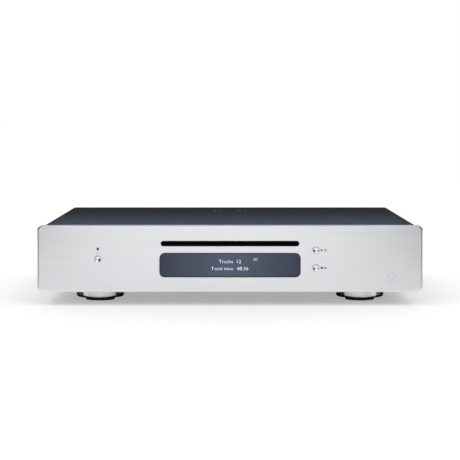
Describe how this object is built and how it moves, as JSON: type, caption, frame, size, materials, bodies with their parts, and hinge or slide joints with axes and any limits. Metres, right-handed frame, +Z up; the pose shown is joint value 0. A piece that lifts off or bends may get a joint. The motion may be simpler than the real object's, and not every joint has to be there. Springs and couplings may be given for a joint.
{
  "type": "cd player",
  "caption": "Slot-loading disc player: brushed fascia with slot, display window and buttons, black folded case on round feet, sprung disc drive, boards and rear sockets.",
  "frame": {"origin": "middle of the bounding box's underside, on the shelf between the feet", "axes": "+X to the right seen from the front, +Y to the rear, +Z up; the fascia faces -Y"},
  "size_m": [0.35, 0.329, 0.073],
  "materials": {
    "brushed_aluminium": "brushed",
    "window_acrylic": "polished",
    "display_glass": "polished",
    "circuit_board": "lacquered",
    "lens_clear": "polished",
    "turned_aluminium": "turned",
    "black_plastic": "moulded",
    "black_felt": "felt",
    "black_paint": "satin",
    "black_screw": "black oxide",
    "zinc_steel": "zinc plated",
    "polished_steel": "ground",
    "black_rubber": "matte",
    "turntable_plastic": "moulded",
    "white_nylon": "moulded",
    "transformer_lamination": "varnished",
    "raw_aluminium": "extruded",
    "ribbon_plastic": "smooth",
    "gold_plate": "gold plated",
    "nickel_plate": "nickel plated"
  },
  "bodies": {
    "case": {"case_screws": "black_screw", "chassis_tray": "black_paint", "digital_output_jack": "gold_plate", "disc_guide": "black_plastic", "display_panel": "display_glass", "display_ribbon": "ribbon_plastic", "display_window": "window_acrylic", "drive_base": "zinc_steel", "drive_bracket": "zinc_steel", "drive_dampers": "black_rubber", "drive_top": "zinc_steel", "foot_fixings": "zinc_steel", "foot_front_left": "turned_aluminium", "foot_front_right": "turned_aluminium", "foot_pads": "black_rubber", "foot_rear_left": "turned_aluminium", "foot_rear_right": "turned_aluminium", "front_board": "circuit_board", "front_panel": "brushed_aluminium", "guide_rods": "polished_steel", "heat_sink": "raw_aluminium", "inlet_pins": "nickel_plate", "inner_fixings": "zinc_steel", "led_lens": "lens_clear", "left_output_jack": "gold_plate", "loading_motor": "zinc_steel", "main_board": "circuit_board", "mains_inlet": "black_plastic", "optical_socket": "black_plastic", "panel_fixings": "zinc_steel", "power_board": "circuit_board", "power_switch_frame": "black_plastic", "power_transformer": "transformer_lamination", "rear_panel": "black_paint", "right_output_jack": "gold_plate", "serial_port": "nickel_plate", "sled_motor": "zinc_steel", "slot_bezel": "black_plastic", "slot_felts": "black_felt", "spindle_motor": "zinc_steel", "top_cover": "black_paint", "traverse_frame": "zinc_steel", "trigger_jacks": "black_plastic"},
    "standby_button": {"standby_button": "turned_aluminium"},
    "play_button": {"play_button": "turned_aluminium"},
    "stop_button": {"stop_button": "turned_aluminium"},
    "power_rocker": {"power_rocker": "black_plastic"},
    "optical_shutter": {"optical_shutter": "black_plastic"},
    "turntable": {"turntable": "turntable_plastic"},
    "clamp_arm": {"clamp_arm": "black_plastic"},
    "clamp_puck": {"clamp_puck": "turntable_plastic"},
    "pickup_sled": {"pickup_sled": "black_plastic", "objective_lens": "lens_clear"},
    "lead_screw": {"lead_screw": "polished_steel"},
    "roller_bracket": {"roller_bracket": "black_plastic", "roller_belt": "black_rubber"},
    "feed_roller": {"roller_shaft": "polished_steel", "feed_roller": "black_rubber"},
    "loading_gear": {"loading_gear": "white_nylon"},
    "motor_pinion": {"motor_pinion": "white_nylon"}
  },
  "joints": [
    {"name": "standby_press", "type": "slide", "parent": "case", "child": "standby_button", "axis": [0, 1, 0], "range_m": [0, 0.0006], "stiffness_N_per_m": 2000, "springref_m": -0.0003},
    {"name": "play_press", "type": "slide", "parent": "case", "child": "play_button", "axis": [0, 1, 0], "range_m": [0, 0.0006], "stiffness_N_per_m": 2000, "springref_m": -0.0003},
    {"name": "stop_press", "type": "slide", "parent": "case", "child": "stop_button", "axis": [0, 1, 0], "range_m": [0, 0.0006], "stiffness_N_per_m": 2000, "springref_m": -0.0003},
    {"name": "power_toggle", "type": "hinge", "parent": "case", "child": "power_rocker", "pos_m": [0.092, 0.154, 0.038], "axis": [1, 0, 0], "range_deg": [0, 16]},
    {"name": "shutter_swing", "type": "hinge", "parent": "case", "child": "optical_shutter", "pos_m": [-0.048, 0.1544, 0.0374], "axis": [-1, 0, 0], "range_deg": [0, 80], "stiffness_Nm_per_rad": 0.0002, "springref_deg": -20.05},
    {"name": "disc_spin", "type": "hinge", "parent": "case", "child": "turntable", "pos_m": [0, -0.072, 0.054], "axis": [0, 0, 1], "continuous": true},
    {"name": "roller_lift", "type": "hinge", "parent": "case", "child": "roller_bracket", "pos_m": [0, -0.118, 0.047], "axis": [-1, 0, 0], "range_deg": [0, 9.5]},
    {"name": "arm_lift", "type": "hinge", "parent": "case", "child": "clamp_arm", "pos_m": [0, 0.014, 0.059], "axis": [-1, 0, 0], "range_deg": [0, 2.2]},
    {"name": "puck_spin", "type": "hinge", "parent": "clamp_arm", "child": "clamp_puck", "pos_m": [0, -0.072, 0.057], "axis": [0, 0, 1], "continuous": true},
    {"name": "sled_travel", "type": "slide", "parent": "case", "child": "pickup_sled", "axis": [0, 1, 0], "range_m": [0, 0.035]},
    {"name": "screw_spin", "type": "hinge", "parent": "case", "child": "lead_screw", "pos_m": [-0.033, -0.02, 0.0493], "axis": [0, 1, 0], "range_deg": [0, 4201]},
    {"name": "gear_spin", "type": "hinge", "parent": "case", "child": "loading_gear", "pos_m": [-0.078, -0.118, 0.047], "axis": [1, 0, 0], "continuous": true},
    {"name": "pinion_spin", "type": "hinge", "parent": "case", "child": "motor_pinion", "pos_m": [-0.078, -0.10355, 0.047], "axis": [1, 0, 0], "continuous": true},
    {"name": "roller_spin", "type": "hinge", "parent": "roller_bracket", "child": "feed_roller", "pos_m": [0, -0.1386, 0.0491], "axis": [1, 0, 0], "continuous": true}
  ],
  "couplings": [
    {"joint": "puck_spin", "follows": "disc_spin", "ratio": 1},
    {"joint": "arm_lift", "follows": "roller_lift", "ratio": 0.23158},
    {"joint": "screw_spin", "follows": "sled_travel", "rad_per_m": 2094.4},
    {"joint": "pinion_spin", "follows": "gear_spin", "ratio": -3},
    {"joint": "roller_spin", "follows": "gear_spin", "ratio": 1}
  ]
}
